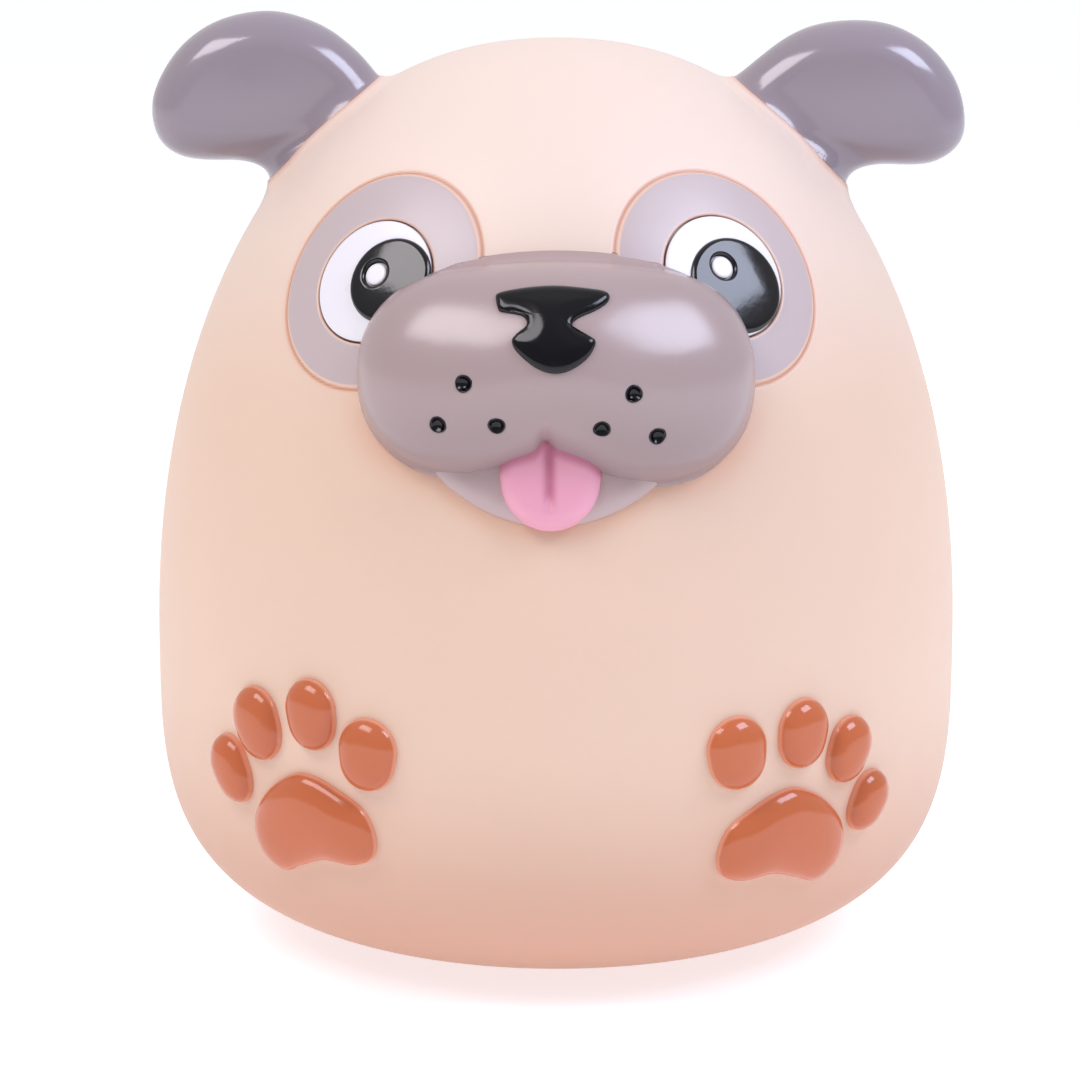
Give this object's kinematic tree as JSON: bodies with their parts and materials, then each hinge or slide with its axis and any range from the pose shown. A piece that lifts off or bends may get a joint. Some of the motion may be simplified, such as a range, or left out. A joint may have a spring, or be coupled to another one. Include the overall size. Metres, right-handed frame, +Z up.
{
  "type": "figural animal coin bank",
  "caption": "Hollow round dog-shaped coin bank with floppy ears, raised muzzle, eyes and paw pads, a coin slot behind the head and a pull-out stopper in the base.",
  "frame": {"origin": "middle of the round foot, on the surface that the bank stands on", "axes": "+Z up through the crown, the face looks along -Y, +X to the right of someone facing it"},
  "size_m": [0.1418, 0.1469, 0.1607],
  "materials": {
    "vinyl": "soft satin moulded vinyl, warm cream",
    "stopper": "soft translucent-white vinyl",
    "ear_grey": "glossy grey vinyl",
    "muzzle_grey": "satin gloss grey-mauve paint",
    "patch_grey": "satin pale grey paint",
    "black_gloss": "glossy black",
    "pupil_black": "glossy black, raised",
    "tongue_pink": "satin pink",
    "eye_white": "white, slight gloss",
    "pad_brown": "glossy orange-brown paint"
  },
  "bodies": {
    "bank": {"body_shell": "vinyl", "ear_left": "ear_grey", "ear_right": "ear_grey", "muzzle": "muzzle_grey", "lower_lip": "muzzle_grey", "nose": "black_gloss", "tongue": "tongue_pink", "whisker_spots_left": "black_gloss", "whisker_spots_right": "black_gloss", "eye_patch_left": "patch_grey", "eye_patch_right": "patch_grey", "eye_white_left": "eye_white", "eye_white_right": "eye_white", "pupil_left": "pupil_black", "pupil_right": "pupil_black", "eye_glint_left": "eye_white", "eye_glint_right": "eye_white", "paw_left_pad": "pad_brown", "paw_left_toe_1": "pad_brown", "paw_left_toe_2": "pad_brown", "paw_left_toe_3": "pad_brown", "paw_left_toe_4": "pad_brown", "paw_right_pad": "pad_brown", "paw_right_toe_1": "pad_brown", "paw_right_toe_2": "pad_brown", "paw_right_toe_3": "pad_brown", "paw_right_toe_4": "pad_brown"},
    "stopper": {"stopper": "stopper"}
  },
  "joints": [
    {"name": "stopper_pull", "type": "slide", "parent": "bank", "child": "stopper", "axis": [0, 0, -1], "range_m": [0, 0.04]}
  ]
}
